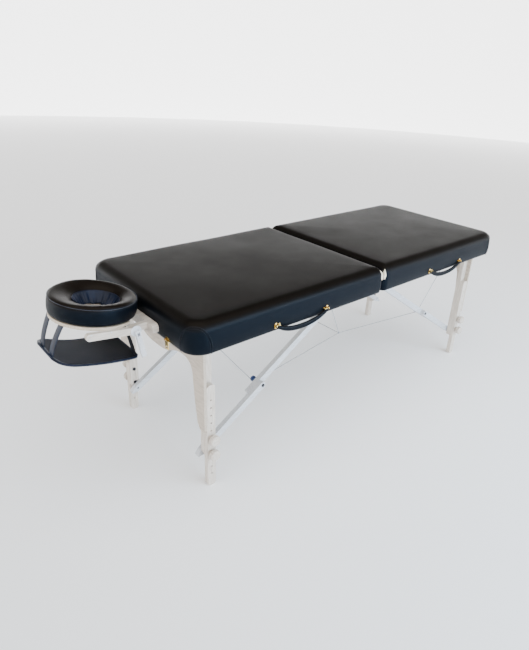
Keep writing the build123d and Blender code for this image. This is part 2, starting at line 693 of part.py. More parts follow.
def make_latch_catches():
    """Brass plates on the foot end, each with the tab that the closed lever holds."""
    with BuildPart() as catches:
        for side in SIDES.values():
            with BuildSketch(Plane.YZ.offset(world_x("foot", HALF_LENGTH))):
                with Locations((side * LATCH_Y, LATCH_PLATE_Z)):
                    Rectangle(*LATCH_PLATE)
            extrude(amount=PLATE)
            with BuildSketch(Plane.YZ.offset(world_x("foot", HALF_LENGTH + PLATE))):
                with Locations((side * LATCH_Y, LATCH_TAB)):
                    Rectangle(TAB[0], TAB[1])
            extrude(amount=TAB[2])
    finish(catches, "latch_catches")


# ---- face cradle ------------------------------------------------------------------------------
tip_up = radians(TILT)
ALONG = (-cos(tip_up), 0, sin(tip_up))      # outwards along the tilted arms
SQUARE = (sin(tip_up), 0, cos(tip_up))      # square to them, upwards


def cradle_plane(height):
    """Tilted plane over the tilt axle: its X runs outwards along the arms, its normal upwards."""
    x = world_x("head", TILT_REACH) + height * SQUARE[0]
    return Plane(origin=(x, 0, TILT_Z + height * SQUARE[2]), x_dir=ALONG, z_dir=SQUARE)


def make_cradle_base():
    """Cross bar with two fixed arms that carry the tilt axle."""
    x, reach = world_x("head", TILT_REACH), TILT_REACH - BAR[1]
    with BuildPart() as base:
        with BuildSketch(Plane.YZ.offset(world_x("head", BAR[1]))):
            with Locations((0, (BAR_Z[0] + BAR_Z[1]) / 2)):
                RectangleRounded(2 * BAR_HALF, BAR_Z[1] - BAR_Z[0], BAR_CORNER)
        extrude(amount=thickness(BAR))
        with BuildSketch(Plane.YZ.offset(world_x("head", DOWEL_HEAD))):
            socket_circles(POST_R)
        extrude(amount=DOWEL_HEAD - BAR[0] + 1, mode=Mode.SUBTRACT)
        for side in SIDES:
            with BuildSketch(lane_plane(side, BASE_ARM)):
                with Locations((x + reach / 2, TILT_Z)):
                    Rectangle(reach, 2 * ARM_HALF)
                with Locations((x, TILT_Z)):
                    Circle(ARM_HALF)
                    Circle(TILT_R + RUN_FIT, mode=Mode.SUBTRACT)
            extrude(amount=thickness(BASE_ARM))
    finish(base, "cradle_base_frame")


def make_cradle_posts():
    with BuildPart() as posts:
        with BuildSketch(Plane.YZ.offset(world_x("head", DOWEL_HEAD))):
            socket_circles(POST_R)
        extrude(amount=DOWEL_HEAD - DOWEL_END)
        chamfer(posts.faces().sort_by(Axis.X)[-2:].edges(), DOWEL_CHAMFER)
    finish(posts, "cradle_posts")


def make_cradle_arms():
    x = world_x("head", TILT_REACH)
    with BuildPart() as arms:
        for side in SIDES:
            with BuildSketch(lane_plane(side, HEAD_ARM, x, TILT_Z, ALONG)):
                with Locations((sum(ARM_SPAN) / 2, 0)):
                    RectangleRounded(thickness(ARM_SPAN), 2 * ARM_HALF, ARM_CORNER)
                Circle(TILT_R, mode=Mode.SUBTRACT)
            extrude(amount=thickness(HEAD_ARM))
    finish(arms, "cradle_arms")


LEVER_Y = HEAD_ARM[1] + 10.7   # |y| of the cam lever's cross pin
LEVER_REACH = 100.0            # from the cross pin to the lever's tip
LEVER_SECTION = (17.0, 10.5)   # across and through
LEVER_LEAN = 10.3              # degrees from hanging straight down, towards the table
LEVER_PIN_R = 2.0
TONGUE = (8.0, 8.6, 2.6)       # the axle's flat end inside the fork: depth, width, past the pin
FORK = 15.0                    # depth of the lever's slot
lean = radians(LEVER_LEAN)
LEVER_DOWN = (sin(lean), 0, -cos(lean))
LEVER_ACROSS = (cos(lean), 0, sin(lean))


def lever_plane(offset):
    """Plane across the cam lever, its X running down the lever from the cross pin."""
    x = world_x("head", TILT_REACH) + offset * LEVER_ACROSS[0]
    return Plane(origin=(x, -LEVER_Y, TILT_Z + offset * LEVER_ACROSS[2]), x_dir=LEVER_DOWN,
                 z_dir=LEVER_ACROSS)


def make_cradle_axle():
    """Tilt axle through all four arms, a washer plate at each end, a tongue and the lever's pin."""
    x = world_x("head", TILT_REACH)
    plates = (HEAD_ARM[1], HEAD_ARM[1] + DISC[1])
    tongue = (plates[1], LEVER_Y + TONGUE[2])
    with BuildPart() as axle:
        with BuildSketch(Plane.XZ.offset(-plates[1])):
            with Locations((x, TILT_Z)):
                Circle(TILT_R)
        extrude(amount=2 * plates[1])
        for side in SIDES:
            with BuildSketch(lane_plane(side, plates, x, TILT_Z)):
                Circle(DISC[0])
            extrude(amount=thickness(plates))
        with BuildSketch(lane_plane("front", tongue, x, TILT_Z, LEVER_DOWN)):
            Rectangle(TONGUE[0], TONGUE[1])
        extrude(amount=thickness(tongue))
        with BuildSketch(lever_plane(-LEVER_SECTION[0] / 2)):
            Circle(LEVER_PIN_R)
        extrude(amount=LEVER_SECTION[0])
    finish(axle, "cradle_axle")


def make_cam_lever():
    """Forked cam lever that turns on the cross pin and hangs beside the arm."""
    width, depth = LEVER_SECTION
    with BuildPart() as lever:
        with BuildSketch(lever_plane(-width / 2)):
            with Locations(((LEVER_REACH - depth / 2) / 2, 0)):
                SlotOverall(LEVER_REACH + depth / 2, depth)
            Circle(LEVER_PIN_R + RUN_FIT, mode=Mode.SUBTRACT)
        extrude(amount=width)
        with BuildSketch(lever_plane(-TONGUE[1] / 2 - EASE)):
            with Locations(((FORK - depth) / 2, 0)):
                Rectangle(FORK + depth, 2 * depth)
        extrude(amount=TONGUE[1] + 2 * EASE, mode=Mode.SUBTRACT)
    finish(lever, "cradle_cam_lever")


def make_cradle_platform():
    """Plywood ring on the tilting arms, cut straight beside the fixed arms."""
    half_along, half_across = CUSHION_SIZE
    far = CUSHION_CENTRE + half_along
    with BuildPart() as platform:
        with BuildSketch(cradle_plane(PLATFORM[0])):
            with Locations((CUSHION_CENTRE, 0)):
                Ellipse(half_along - PLATFORM_RIM, half_across - PLATFORM_RIM)
                Circle(PLATFORM_HOLE, mode=Mode.SUBTRACT)
            with Locations((PLATFORM_START - far / 2, 0)):
                Rectangle(far, 2 * half_across, mode=Mode.SUBTRACT)
        extrude(amount=thickness(PLATFORM))
    finish(platform, "cradle_platform")


def make_cradle_cushion():
    with BuildPart() as cushion:
        with BuildSketch(cradle_plane(CUSHION[0])):
            with Locations((CUSHION_CENTRE, 0)):
                Ellipse(*CUSHION_SIZE)
                Circle(CUSHION_HOLE, mode=Mode.SUBTRACT)
        extrude(amount=thickness(CUSHION))
        fillet(cushion.faces().filter_by(Plane(origin=(0, 0, 0), z_dir=SQUARE)).edges(), CUSHION_EDGE)
    finish(cushion, "cradle_cushion")


def arm_point(along):
    """World X and Z of a point on the platform's underside."""
    point = cradle_plane(PLATFORM[0]).from_local_coords((along, 0, 0))
    return (point.X, point.Z)


def make_sling():
    """Padded arm sling hung from the platform's underside by four straps."""
    inner = (world_x("head", SLING_INNER[0]), SLING_INNER[1])
    outer = (world_x("head", SLING_OUTER[0]), SLING_OUTER[1])
    width, thick, inset = STRAP
    slope_z = thick * (outer[1] - inner[1]) / (inner[0] - outer[0])
    strap_roots = (((outer[0] + thick, outer[1] - slope_z), outer,
                    arm_point(STRAP_TOPS[1]), arm_point(STRAP_TOPS[1] - thick)),
                   (inner, (inner[0] - thick, inner[1] + slope_z),
                    arm_point(STRAP_TOPS[0]), arm_point(STRAP_TOPS[0] - thick)))
    with BuildPart() as sling:
        with BuildSketch(Plane.XZ.offset(-SLING_HALF)):
            with BuildLine():
                Polyline(inner, outer, (outer[0], outer[1] - SLING_THICK),
                         (inner[0], inner[1] - SLING_THICK), close=True)
            make_face()
        extrude(amount=2 * SLING_HALF)
        for root in strap_roots:
            for y in (SLING_HALF - inset, -SLING_HALF + inset + width):
                with BuildSketch(Plane.XZ.offset(-y)):
                    with BuildLine():
                        Polyline(*root, close=True)
                    make_face()
                extrude(amount=width)
    finish(sling, "cradle_arm_sling")


# ---- build everything -------------------------------------------------------------------------
for end in ENDS:
    make_deck(end)
    make_rails(end)
    make_padding(end)
    make_hinge_leaves(end)
    make_leg_axle(end)
    make_leg_posts(end)
    make_end_panel(end)
    make_leg_bolts(end)
    make_upper_struts(end)
    make_lower_struts(end)
    make_knee_bolts(end)
    make_spools(end)
    make_brace_brackets(end)
    make_stay_cables(end)
    make_handle_mounts(end)
    make_handle(end)
    for side in SIDES:
        make_extension(end, side)
        for level in KNOB_HOLES:
            make_knob(end, side, level)
make_hinge_pins()
make_centre_cables()
make_latch_plates()
make_latch_catches()
for side in SIDES:
    make_latch_lever(side)
make_cradle_base()
make_cradle_posts()
make_cradle_arms()
make_cradle_axle()
make_cam_lever()
make_cradle_platform()
make_cradle_cushion()
make_sling()
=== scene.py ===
import json
from math import atan2, cos, pi, radians, sin
import bpy
from mathutils import Matrix, Vector, noise


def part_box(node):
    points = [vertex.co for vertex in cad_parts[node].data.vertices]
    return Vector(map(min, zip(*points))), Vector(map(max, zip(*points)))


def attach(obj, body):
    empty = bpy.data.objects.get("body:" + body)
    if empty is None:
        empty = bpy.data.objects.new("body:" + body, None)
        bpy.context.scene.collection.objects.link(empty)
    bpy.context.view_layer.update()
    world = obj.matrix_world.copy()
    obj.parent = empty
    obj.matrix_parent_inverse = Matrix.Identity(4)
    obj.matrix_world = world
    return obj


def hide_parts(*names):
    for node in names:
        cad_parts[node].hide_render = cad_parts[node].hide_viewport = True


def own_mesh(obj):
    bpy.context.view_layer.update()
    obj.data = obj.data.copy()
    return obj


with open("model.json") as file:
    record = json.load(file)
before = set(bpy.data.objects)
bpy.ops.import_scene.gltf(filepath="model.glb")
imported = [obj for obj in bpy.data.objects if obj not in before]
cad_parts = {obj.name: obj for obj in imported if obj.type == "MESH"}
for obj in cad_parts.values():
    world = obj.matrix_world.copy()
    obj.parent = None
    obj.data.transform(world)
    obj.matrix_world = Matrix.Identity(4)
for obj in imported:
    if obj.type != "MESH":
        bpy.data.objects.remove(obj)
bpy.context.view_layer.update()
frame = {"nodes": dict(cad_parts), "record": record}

ENDS = {"head": -1, "foot": 1}
SIDES = {"front": -1, "back": 1}

# ---- places taken from the frame ---------------------------------------------------------------
hinge_low, hinge_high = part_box("hinge_pins")
HINGE_X = (hinge_low.x + hinge_high.x) / 2
axle_low, axle_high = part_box("cradle_axle")
TILT_X = (axle_low.x + axle_high.x) / 2
TILT_Z = (axle_low.z + axle_high.z) / 2
TILT = radians(8)
ALONG = Vector((-cos(TILT), 0, sin(TILT)))      # outwards along the tilted cradle arms
SQUARE = Vector((sin(TILT), 0, cos(TILT)))      # square to them, upwards


# ---- camera and light --------------------------------------------------------------------------
CAMERA_PLACE = (-1.6991, -1.5870, 1.4660)       # from the hinge line on the floor
CAMERA_TURN = (0.759, 0.440, 0.058)             # yaw, pitch down and roll
CAMERA_LENS = 28.455
CAMERA_SHIFT = (-0.0352, -0.0213)
PALE_WHITE = (0.96, 0.96, 0.96)
FLOOR_HALF = 40.0
BACKDROP_RADIUS, BACKDROP_HEIGHT, BACKDROP_SIDES, BACKDROP_GLOW = 14.0, 3.6, 48, 2.2


def make_camera():
    """Standing view from the head end's front corner."""
    camera = bpy.data.objects.new("camera", bpy.data.cameras.new("camera"))
    bpy.context.scene.collection.objects.link(camera)
    yaw, pitch, roll = CAMERA_TURN
    forward = Vector((sin(yaw) * cos(pitch), cos(yaw) * cos(pitch), -sin(pitch)))
    level = Vector((cos(yaw), -sin(yaw), 0))
    upright = level.cross(forward)
    right = cos(roll) * level + sin(roll) * upright
    up = cos(roll) * upright - sin(roll) * level
    turn = Matrix((right, up, -forward)).transposed().to_4x4()
    place_x, place_y, place_z = CAMERA_PLACE
    camera.matrix_world = Matrix.Translation((HINGE_X + place_x, place_y, place_z)) @ turn
    camera.data.lens = CAMERA_LENS
    camera.data.shift_x, camera.data.shift_y = CAMERA_SHIFT
    camera.data.clip_end = 100
    bpy.context.scene.camera = camera


def area_light(name, place, target, size, power, colour):
    light = bpy.data.lights.new(name, "AREA")
    light.shape = "RECTANGLE"
    light.size, light.size_y = size
    light.energy = power
    light.color = colour
    lamp = bpy.data.objects.new(name, light)
    bpy.context.scene.collection.objects.link(lamp)
    lamp.location = place
    lamp.rotation_euler = (Vector(target) - Vector(place)).to_track_quat("-Z", "Y").to_euler()


def make_stage():
    corners = [(x * FLOOR_HALF, y * FLOOR_HALF, 0) for x, y in ((-1, -1), (1, -1), (1, 1), (-1, 1))]
    floor = new_mesh("floor", corners, [(0, 1, 2, 3)])
    floor.data.materials.append(plain("floor_pale", PALE_WHITE, 0.9))
    turns = [2 * pi * k / BACKDROP_SIDES for k in range(BACKDROP_SIDES)]
    ring = [[Vector((BACKDROP_RADIUS * cos(a), BACKDROP_RADIUS * sin(a), z)) for a in turns]
            for z in (0.0, BACKDROP_HEIGHT)]
    backdrop = new_mesh("backdrop", *bridge(ring, caps=(False, False)))
    material, _, node = shader("backdrop_white", 0.9)
    node.inputs["Base Color"].default_value = (*PALE_WHITE, 1)
    node.inputs["Emission Color"].default_value = (1, 1, 1, 1)
    node.inputs["Emission Strength"].default_value = BACKDROP_GLOW
    backdrop.data.materials.append(material)
    world = bpy.data.worlds.new("studio")
    bpy.context.scene.world = world
    world.use_nodes = True
    world.node_tree.nodes["Background"].inputs["Color"].default_value = (0.80, 0.76, 0.72, 1)
    world.node_tree.nodes["Background"].inputs["Strength"].default_value = 0.30
    soft_sun = bpy.data.lights.new("soft_sun", "SUN")
    soft_sun.energy = 4.6
    soft_sun.angle = radians(110)
    lamp = bpy.data.objects.new("soft_sun", soft_sun)
    bpy.context.scene.collection.objects.link(lamp)
    lamp.rotation_euler = (radians(28), radians(-22), 0)
    area_light("front_window", (0.9, -3.4, 1.5), (0.2, 0, 0.6), (3.4, 1.1), 190, (0.58, 0.78, 1.0))


# ---- mesh helpers ------------------------------------------------------------------------------
def new_mesh(name, verts, faces, smooth=True):
    mesh = bpy.data.meshes.new(name)
    mesh.from_pydata([tuple(v) for v in verts], [], faces)
    mesh.validate()
    mesh.shade_smooth() if smooth else mesh.shade_flat()
    piece = bpy.data.objects.new(name, mesh)
    bpy.context.scene.collection.objects.link(piece)
    return piece


def bridge(rings, closed=True, caps=(True, True)):
    """Vertices and quads through rings of equal length, capped at the chosen ends."""
    count = len(rings[0])
    verts = [p for ring in rings for p in ring]
    span = count if closed else count - 1
    faces = [(k * count + i, k * count + (i + 1) % count, (k + 1) * count + (i + 1) % count,
              (k + 1) * count + i) for k in range(len(rings) - 1) for i in range(span)]
    if caps[0]:
        faces.append(tuple(reversed(range(count))))
    if caps[1]:
        faces.append(tuple(range((len(rings) - 1) * count, len(rings) * count)))
    return verts, faces


def sweep(name, path, section, side):
    """A closed section of (across, through) pairs, carried along a path beside a fixed side vector."""
    side = Vector(side).normalized()
    rings = []
    for i, point in enumerate(path):
        ahead = (path[min(i + 1, len(path) - 1)] - path[max(i - 1, 0)]).normalized()
        out = ahead.cross(side).normalized()
        rings.append([point + side * a + out * b for a, b in section])
    return new_mesh(name, *bridge(rings))


def rounded_section(width, height, steps=4, softness=0.5):
    """Outline of a strap: a rectangle with round edges."""
    r = min(width, height) * softness
    points = []
    for sx, sy, start in ((1, 1, 0), (-1, 1, 90), (-1, -1, 180), (1, -1, 270)):
        for k in range(steps + 1):
            angle = radians(start + 90 * k / steps)
            points.append((sx * (width / 2 - r) + r * cos(angle), sy * (height / 2 - r) + r * sin(angle)))
    return points


def smooth_path(points, per_run=8):
    """Catmull-Rom curve through the points."""
    pts = [Vector(p) for p in points]
    pts = [2 * pts[0] - pts[1]] + pts + [2 * pts[-1] - pts[-2]]
    path = []
    for a, b, c, d in zip(pts, pts[1:], pts[2:], pts[3:]):
        for k in range(per_run):
            t = k / per_run
            path.append(0.5 * (2 * b + (c - a) * t + (2 * a - 5 * b + 4 * c - d) * t * t
                               + (3 * b - a - 3 * c + d) * t ** 3))
    return path + [pts[-2]]


def tube(name, path, radius, sides=8):
    section = [(radius * cos(2 * pi * k / sides), radius * sin(2 * pi * k / sides)) for k in range(sides)]
    chord = (path[-1] - path[0]).normalized()
    side = Vector((0, 0, 1)) if abs(chord.z) < 0.8 else Vector((0, 1, 0))
    return sweep(name, path, section, side)


def lathe(name, profile, centre, axis, segments=24):
    """Turned piece: (radius, height) pairs about an axis through the centre."""
    turn = Vector((0, 0, 1)).rotation_difference(Vector(axis)).to_matrix()
    turns = [2 * pi * k / segments for k in range(segments)]
    rings = [[Vector(centre) + turn @ Vector((r * cos(a), r * sin(a), h)) for a in turns] for r, h in profile]
    return new_mesh(name, *bridge(rings))


def join(name, pieces):
    bpy.ops.object.select_all(action="DESELECT")
    for piece in pieces:
        piece.select_set(True)
    bpy.context.view_layer.objects.active = pieces[0]
    bpy.ops.object.join()
    pieces[0].name = name
    return pieces[0]


def stitches(name, path, normals, length=0.0042, gap=0.0028, width=0.0007, lift=0.0003):
    """Raised thread dashes along a path that lies on a surface with the given normals."""
    verts, faces = [], []
    travelled, next_start = 0.0, 0.0
    for a, b, normal in zip(path, path[1:], normals):
        run = b - a
        while next_start < travelled + run.length:
            t = (next_start - travelled) / run.length
            start, ahead = a + run * t, run.normalized()
            across, n = ahead.cross(normal).normalized() * width / 2, Vector(normal).normalized()
            end, first = start + ahead * length, len(verts)
            middle = (start + end) / 2 + n * (lift + width)
            verts += [start - across, start + across, middle + across, middle - across]
            verts += [end + across, end - across, start - n * width, end - n * width]
            faces += [tuple(first + k for k in f) for f in
                      ((0, 1, 2, 3), (3, 2, 4, 5), (0, 6, 1), (5, 4, 7), (0, 3, 5, 7, 6), (1, 6, 7, 4, 2))]
            next_start += length + gap
        travelled += run.length
    return new_mesh(name, verts, faces)


# ---- materials ---------------------------------------------------------------------------------
def shader(name, roughness, metallic=0.0):
    material = bpy.data.materials.new(name)
    material.use_nodes = True
    node = material.node_tree.nodes["Principled BSDF"]
    node.inputs["Roughness"].default_value = roughness
    node.inputs["Metallic"].default_value = metallic
    return material, material.node_tree, node


def plain(name, colour, roughness):
    material, _, node = shader(name, roughness)
    node.inputs["Base Color"].default_value = (*colour, 1)
    return material


def noise_field(tree, scale, detail=4.0, stretch=(1, 1, 1), turn=(0, 0, 0), kind="ShaderNodeTexNoise"):
    place = tree.nodes.new("ShaderNodeTexCoord")
    mapping = tree.nodes.new("ShaderNodeMapping")
    mapping.inputs["Scale"].default_value = stretch
    mapping.inputs["Rotation"].default_value = turn
    field = tree.nodes.new(kind)
    field.inputs["Scale"].default_value = scale
    if kind == "ShaderNodeTexNoise":
        field.inputs["Detail"].default_value = detail
    tree.links.new(place.outputs["Object"], mapping.inputs["Vector"])
    tree.links.new(mapping.outputs["Vector"], field.inputs["Vector"])
    return field.outputs[0]


def ramp(tree, source, stops):
    node = tree.nodes.new("ShaderNodeValToRGB")
    for k, (place, colour) in enumerate(stops):
        stop = node.color_ramp.elements[k] if k < 2 else node.color_ramp.elements.new(place)
        stop.position = place
        stop.color = (*colour, 1)
    tree.links.new(source, node.inputs["Fac"])
    return node.outputs["Color"]


def add_bump(tree, node, source, strength, distance):
    bump = tree.nodes.new("ShaderNodeBump")
    bump.inputs["Strength"].default_value = strength
    bump.inputs["Distance"].default_value = distance
    tree.links.new(source, bump.inputs["Height"])
    previous = node.inputs["Normal"].links
    if previous:
        tree.links.new(previous[0].from_socket, bump.inputs["Normal"])
    tree.links.new(bump.outputs["Normal"], node.inputs["Normal"])


def vary_roughness(tree, node, source, low, high):
    spread = tree.nodes.new("ShaderNodeMapRange")
    spread.inputs["To Min"].default_value = low
    spread.inputs["To Max"].default_value = high
    tree.links.new(source, spread.inputs["Value"])
    tree.links.new(spread.outputs["Result"], node.inputs["Roughness"])


def vinyl(name, side, top, rough=(0.36, 0.50)):
    """Soft upholstery vinyl: pebbled grain, uneven polish, and a painted reflection in its colour, bluer on
    upright faces than on level ones.
    """
    material, tree, node = shader(name, rough[0])
    broad = noise_field(tree, 3.0, 3)
    # painted reflection: base colour and specular tint ramp with the face's tilt, from a painted bluish sheen
    # on upright faces to a painted warm sheen on level ones
    painted_sheen_facing = tree.nodes.new("ShaderNodeNewGeometry")
    parts = tree.nodes.new("ShaderNodeSeparateXYZ")
    tree.links.new(painted_sheen_facing.outputs["Normal"], parts.inputs["Vector"])
    tree.links.new(ramp(tree, parts.outputs["Z"], ((0.15, side), (0.75, top))), node.inputs["Base Color"])
    tree.links.new(ramp(tree, parts.outputs["Z"], ((0.15, (0.50, 0.72, 1.0)), (0.80, (0.95, 0.82, 0.68)))),
                   node.inputs["Specular Tint"])
    node.inputs["Specular IOR Level"].default_value = 0.10
    vary_roughness(tree, node, noise_field(tree, 9.0, 5), *rough)
    add_bump(tree, node, noise_field(tree, 900.0, kind="ShaderNodeTexVoronoi"), 0.18, 0.0004)
    add_bump(tree, node, noise_field(tree, 260.0, 6), 0.10, 0.0005)
    add_bump(tree, node, broad, 0.25, 0.004)
    return material


def wood(name, dark, light, stretch, turn=(0, 0, 0), rough=(0.34, 0.48)):
    """Pale lacquered maple: long fibres, growth bands and small pores."""
    material, tree, node = shader(name, rough[0])
    fibre = noise_field(tree, 30.0, 8, stretch, turn)
    tree.links.new(ramp(tree, fibre, ((0.30, dark), (0.62, light))), node.inputs["Base Color"])
    pores = noise_field(tree, 160.0, 3, stretch, turn)
    vary_roughness(tree, node, pores, *rough)
    add_bump(tree, node, pores, 0.12, 0.0003)
    add_bump(tree, node, fibre, 0.10, 0.0006)
    node.inputs["Coat Weight"].default_value = 0.25
    node.inputs["Coat Roughness"].default_value = 0.25
    return material


def metal(name, colour, rough=(0.15, 0.35), stretch=(1, 1, 1), metallic=1.0):
    """Metal with fine scratches and handling marks."""
    material, tree, node = shader(name, rough[0], metallic)
    worn = noise_field(tree, 55.0, 6, stretch)
    shade = tuple(c * 0.78 for c in colour)
    tree.links.new(ramp(tree, worn, ((0.3, shade), (0.65, colour))), node.inputs["Base Color"])
    vary_roughness(tree, node, worn, *rough)
    add_bump(tree, node, noise_field(tree, 420.0, 3, stretch), 0.08, 0.0002)
    return material


def cloth(name, dark, light, scale=1400.0, rough=0.75):
    """Woven fabric: crossed threads over a slow colour drift."""
    material, tree, node = shader(name, rough)
    drift = noise_field(tree, 18.0, 4)
    tree.links.new(ramp(tree, drift, ((0.35, dark), (0.7, light))), node.inputs["Base Color"])
    for stretch in ((1, 0.08, 0.08), (0.08, 1, 1)):
        add_bump(tree, node, noise_field(tree, scale, 2, stretch), 0.25, 0.0004)
    node.inputs["Sheen Weight"].default_value = 0.05
    node.inputs["Specular IOR Level"].default_value = 0.2
    node.inputs["Sheen Roughness"].default_value = 0.4
    node.inputs["Sheen Tint"].default_value = (0.35, 0.50, 0.90, 1)
    return material


PALE = ((0.40, 0.345, 0.29), (0.60, 0.545, 0.48))
BRACE_SLOPE = atan2(0.515, 0.806)
MATERIALS = {
    # painted reflection: in each vinyl the first colour is the navy sheen painted on upright faces, the
    # second the warm brown sheen painted on level faces
    "vinyl": vinyl("vinyl", (0.0010, 0.0018, 0.0035), (0.0016, 0.0011, 0.0008), (0.36, 0.48)),
    "cushion": vinyl("cushion_vinyl", (0.0010, 0.0016, 0.0030), (0.0040, 0.0026, 0.0018), (0.36, 0.48)),
    "grip": vinyl("grip_leather", (0.0012, 0.0018, 0.0030), (0.003, 0.003, 0.0035), (0.38, 0.52)),
    "foam": cloth("foam", (0.62, 0.58, 0.42), (0.80, 0.76, 0.60)),
    "maple": wood("maple_upright", *PALE, (12, 12, 0.7)),
    # the end panel is the same pale wood as the legs; its darker taupe colours are painted shade
    "panel": wood("panel_ply_painted_shade", (0.34, 0.28, 0.22), (0.50, 0.43, 0.35), (12, 0.9, 8)),
    "plywood": wood("deck_ply", (0.36, 0.29, 0.21), (0.54, 0.46, 0.36), (0.7, 10, 12)),
    "knob": wood("turned_maple", *PALE, (10, 2, 10)),
    "brass": metal("brass", (0.83, 0.61, 0.24), (0.12, 0.30)),
    "steel": metal("steel", (0.58, 0.59, 0.61), (0.22, 0.40)),
    "black_metal": metal("blackened_steel", (0.035, 0.035, 0.040), (0.30, 0.50), metallic=0.8),
    "spool": metal("spool_blue", (0.03, 0.06, 0.17), (0.35, 0.55), metallic=0.1),
    "cable": metal("cable_steel", (0.26, 0.28, 0.31), (0.30, 0.45), (9, 9, 9)),
    "sling": cloth("sling_fabric", (0.0035, 0.0030, 0.0030), (0.0070, 0.0060, 0.0058)),
    "lever": metal("lever_paint", (0.66, 0.69, 0.74), (0.25, 0.40), metallic=0.05),
}
# the struts are the same pale maple as the legs; their cool blue-grey colours are painted bluish shade
STRUT_WOOD = {end: wood(f"{end}_strut_maple_painted_shade", (0.38, 0.39, 0.41), (0.55, 0.57, 0.60), (0.7, 12, 12),
                        (0, sign * BRACE_SLOPE, 0)) for end, sign in ENDS.items()}
CROSS_WOOD = wood("maple_level", *PALE, (0.7, 12, 12))
NAVY = cloth("navy_satin", (0.0015, 0.0035, 0.0105), (0.004, 0.009, 0.026), 900.0, 0.42)
THREAD = cloth("thread", (0.020, 0.022, 0.028), (0.045, 0.050, 0.062), 2600.0, 0.6)


def dress_cad_nodes():
    """Give every CAD node the material of its slot, with the grain along the boards."""
    for part in frame["record"]["subparts"]:
        node, material = part["node"], MATERIALS[part["material_slot"]]
        if node.endswith("_struts"):
            material = STRUT_WOOD[node.split("_")[0]]
        elif part["material_slot"] == "maple" and ("rails" in node or "cradle" in node):
            material = CROSS_WOOD
        mesh = frame["nodes"][node].data
        mesh.materials.clear()
        mesh.materials.append(material)


def place(piece, body, slot, material=None, *replaced):
    """Finish a piece: its material (given, or else the one of its slot), the body it rides on, and hiding the
    CAD nodes it stands for.
    """
    piece.data.materials.clear()
    piece.data.materials.append(material or MATERIALS[slot])
    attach(piece, body)
    if replaced:
        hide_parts(*replaced)
    return piece


# ---- padded halves -----------------------------------------------------------------------------
OUTER_CORNER, VALLEY_CORNER, EDGE = 0.070, 0.028, 0.042
CROWN, BULGE, LIP = 0.004, 0.0028, 0.022
CORNER_STEPS, LONG_STEPS, SHORT_STEPS = 12, 36, 30


class Half:
    """One padded half as a surface: a rounded plan outline carried up a side profile."""

    def __init__(self, end):
        self.end, self.sign = end, ENDS[end]
        self.low, self.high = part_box(f"{end}_cover")
        self.middle = (self.low + self.high) / 2
        self.half = (self.high - self.low) / 2

    def outline(self, inset):
        """Points round the plan, anticlockwise from the corner with the highest x and y."""
        points = []
        for sx, sy, start in ((1, 1, 0), (-1, 1, 90), (-1, -1, 180), (1, -1, 270)):
            radius = OUTER_CORNER if sx == self.sign else VALLEY_CORNER
            r = max(radius - inset, 0.0015)
            cx, cy = self.half.x - inset - r, self.half.y - inset - r
            steps = LONG_STEPS if start in (0, 180) else SHORT_STEPS
            turns = [radians(start + 90 * k / CORNER_STEPS) for k in range(CORNER_STEPS + 1)]
            arc = [(sx * cx + r * cos(a), sy * cy + r * sin(a)) for a in turns]
            points += arc
            nx, ny = ((-1, 1), (-1, -1), (1, -1), (1, 1))[start // 90]
            next_radius = max((OUTER_CORNER if nx == self.sign else VALLEY_CORNER) - inset, 0.0015)
            ncx, ncy = self.half.x - inset - next_radius, self.half.y - inset - next_radius
            angle = radians(start + 90)
            target = (nx * ncx + next_radius * cos(angle), ny * ncy + next_radius * sin(angle))
            points += [(arc[-1][0] + (target[0] - arc[-1][0]) * k / steps,
                        arc[-1][1] + (target[1] - arc[-1][1]) * k / steps) for k in range(1, steps)]
        return [Vector((self.middle.x + x, self.middle.y + y, 0)) for x, y in points]

    def profile(self):
        """(inset, height) pairs from the stapled lip underneath to the middle of the top."""
        low, top = self.low.z, self.high.z
        side = top - EDGE - low
        pairs = [(LIP, low - 0.0012), (0.006, low - 0.0012), (0.0015, low + 0.001)]
        for k in range(1, 9):
            t = k / 8
            pairs.append((-BULGE * sin(pi * t) + 0.0006, low + side * t))
        for k in range(1, 10):
            a = radians(90 * k / 9)
            pairs.append((EDGE * (1 - cos(a)), top - EDGE + EDGE * sin(a)))
        width = self.half.y - 0.004 - EDGE
        for k in range(1, 15):
            t = k / 14
            pairs.append((EDGE + width * t, top + CROWN * (1 - (1 - t) ** 2)))
        return pairs

    def rings(self):
        return [[p + Vector((0, 0, z)) for p in self.outline(inset)] for inset, z in self.profile()]


def make_cover(end):
    """Vinyl skin with slow hollows in the rounded edge and the top, and its corner patches."""
    half = Half(end)
    rings = half.rings()
    for ring in rings[12:]:
        for p in ring:
            p.z += 0.0012 * noise.noise(Vector((p.x * 4, p.y * 4, half.sign * 3.1)))
    cover = new_mesh(f"{end}_vinyl_cover", *bridge(rings, caps=(False, True)))
    solid = cover.modifiers.new("vinyl", "SOLIDIFY")
    solid.thickness, solid.offset = 0.0011, -1
    place(cover, f"{end}_section", "vinyl", None, f"{end}_cover")
    for side in SIDES:
        make_corner_patch(half, side)


